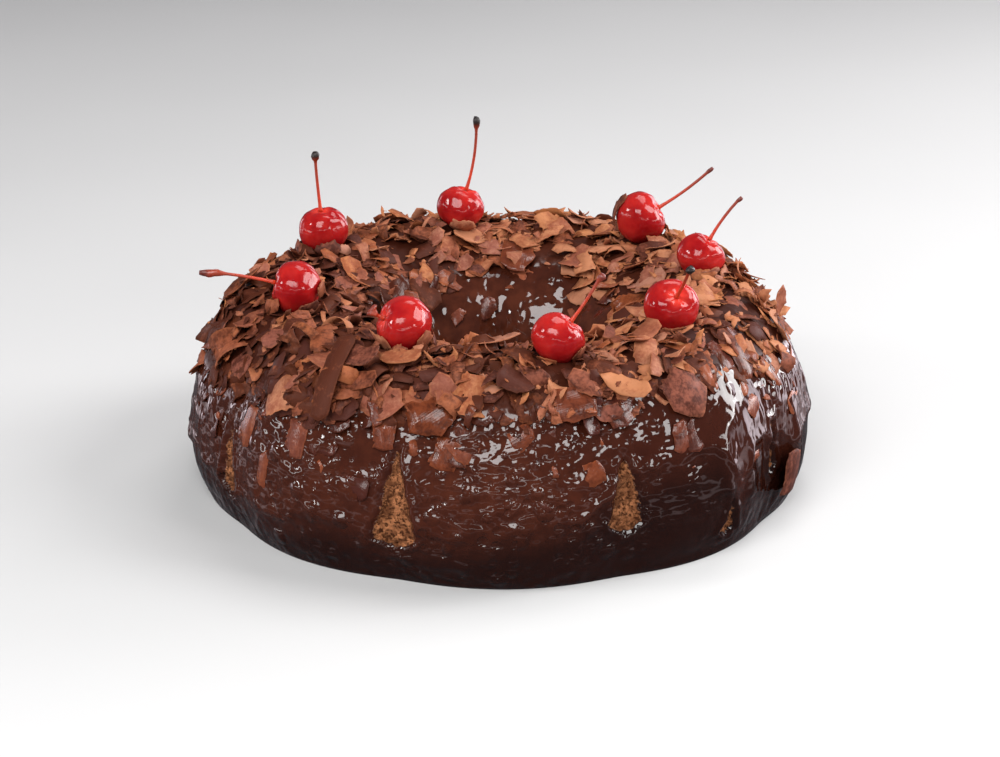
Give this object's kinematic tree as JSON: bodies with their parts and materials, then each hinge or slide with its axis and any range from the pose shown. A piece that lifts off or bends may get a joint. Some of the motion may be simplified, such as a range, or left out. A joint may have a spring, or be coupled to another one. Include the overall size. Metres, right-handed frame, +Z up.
{
  "type": "chocolate ring cake",
  "caption": "Ring-shaped glazed chocolate cake of soft lobes round a middle hole, its crown heaped with chocolate shavings and set with stemmed cherries.",
  "frame": {"origin": "on the ring's axis, at the level of its flat base", "axes": "+Z up along the ring's axis, -Y towards the front of the picture's view, +X to its right"},
  "size_m": [0.2461, 0.2447, 0.1264],
  "materials": {
    "cake": "dark chocolate glaze, glossy and wet, with matte milk chocolate shavings",
    "cherry": "candied cherry, glossy and slightly see-through",
    "stem": "thin dyed stalk, satin"
  },
  "bodies": {
    "root": {"cake": "cake", "cherry_1": "cherry", "cherry_2": "cherry", "cherry_3": "cherry", "cherry_4": "cherry", "cherry_5": "cherry", "cherry_6": "cherry", "cherry_7": "cherry", "cherry_8": "cherry", "cherry_stem_1": "stem", "cherry_stem_2": "stem", "cherry_stem_3": "stem", "cherry_stem_4": "stem", "cherry_stem_5": "stem", "cherry_stem_6": "stem", "cherry_stem_7": "stem", "cherry_stem_8": "stem"}
  },
  "joints": []
}
